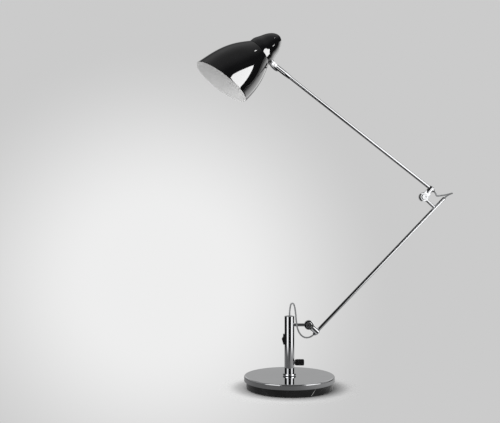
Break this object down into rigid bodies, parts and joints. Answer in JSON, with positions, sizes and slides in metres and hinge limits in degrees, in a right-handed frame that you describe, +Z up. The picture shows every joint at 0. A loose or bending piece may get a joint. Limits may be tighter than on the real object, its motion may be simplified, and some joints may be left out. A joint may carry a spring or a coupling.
{
  "type": "folding bedside lamp",
  "caption": "Bedside lamp with a chrome post on a round marble base, two jointed arms and a black bell shade that tilts and swivels; a rocker switch sits on the post.",
  "frame": {"origin": "middle of the base's underside, on the table", "axes": "+Z up, +X the way the lower arm leans at rest, -Y towards the viewer"},
  "size_m": [0.4247, 0.15, 0.5903],
  "materials": {
    "chrome": "polished",
    "zinc_steel": "satin",
    "black_enamel": "gloss",
    "black_plastic": "satin",
    "holder_plastic": "satin",
    "washer_plastic": "satin",
    "lead_jacket": "matte",
    "black_marble": "polished",
    "felt": "matte",
    "bulb_glass": "satin",
    "bulb_cap": "satin"
  },
  "bodies": {
    "base": {"base_pad": "felt", "marble_disc": "black_marble", "cord_bush": "black_plastic", "base_plate": "chrome", "post_spigot": "zinc_steel", "spigot_washer": "zinc_steel", "spigot_nut": "zinc_steel", "post_collar": "chrome"},
    "post": {"post_tube": "chrome", "post_top_bush": "black_plastic", "switch_bezel": "black_plastic", "switch_body": "black_plastic", "screw_boss": "chrome", "shoulder_stub": "chrome", "stub_nut": "zinc_steel", "shoulder_screw": "chrome", "shoulder_washer": "washer_plastic", "shoulder_nut": "chrome", "post_lead": "lead_jacket"},
    "rocker": {"switch_rocker": "black_plastic"},
    "thumbscrew": {"thumbscrew_knob": "black_plastic", "thumbscrew_shank": "chrome"},
    "lower_arm": {"lower_tee": "chrome", "lower_rod": "chrome", "lower_rod_foot_bush": "black_plastic", "lower_rod_top_bush": "black_plastic", "elbow_stub": "chrome", "elbow_washer": "washer_plastic", "elbow_screw": "chrome", "elbow_nut": "chrome", "elbow_lead": "lead_jacket"},
    "upper_arm": {"upper_tee": "chrome", "upper_rod": "chrome", "upper_rod_bush": "black_plastic", "stop_collar": "chrome"},
    "sleeve": {"swivel_sleeve": "chrome", "tilt_pin": "chrome", "head_lead": "lead_jacket"},
    "head": {"head_lug": "chrome", "shade": "black_enamel", "cap": "black_enamel", "lug_bracket": "zinc_steel", "lug_nut": "zinc_steel", "lamp_holder": "holder_plastic", "shade_ring": "holder_plastic", "bulb_base": "bulb_cap", "bulb_glass": "bulb_glass"}
  },
  "joints": [
    {"name": "post_turn", "type": "hinge", "parent": "base", "child": "post", "pos_m": [0, 0, 0.07], "axis": [0, 0, 1], "range_deg": [-170, 170]},
    {"name": "switch_press", "type": "hinge", "parent": "post", "child": "rocker", "pos_m": [-0.0086, 0, 0.0817], "axis": [0, 1, 0], "range_deg": [-18, 0]},
    {"name": "thumbscrew_turn", "type": "hinge", "parent": "post", "child": "thumbscrew", "pos_m": [0.018, 0, 0.0432], "axis": [1, 0, 0], "range_deg": [0, 360]},
    {"name": "shoulder_pivot", "type": "hinge", "parent": "post", "child": "lower_arm", "pos_m": [0.0322, 0, 0.1053], "axis": [0, 1, 0], "range_deg": [-30, 35], "deforming": ["post_lead"]},
    {"name": "elbow_pivot", "type": "hinge", "parent": "lower_arm", "child": "upper_arm", "pos_m": [0.22366, 0, 0.31723], "axis": [0, 1, 0], "range_deg": [-50, 70], "deforming": ["elbow_lead"]},
    {"name": "head_swivel", "type": "hinge", "parent": "upper_arm", "child": "sleeve", "pos_m": [-0.02296, 0, 0.53418], "axis": [-0.7848, 0, 0.6198], "range_deg": [-90, 90]},
    {"name": "head_tilt", "type": "hinge", "parent": "sleeve", "child": "head", "pos_m": [-0.02296, 0, 0.53418], "axis": [-0.1012, 0.9866, -0.1282], "range_deg": [-60, 60], "deforming": ["head_lead"]}
  ]
}
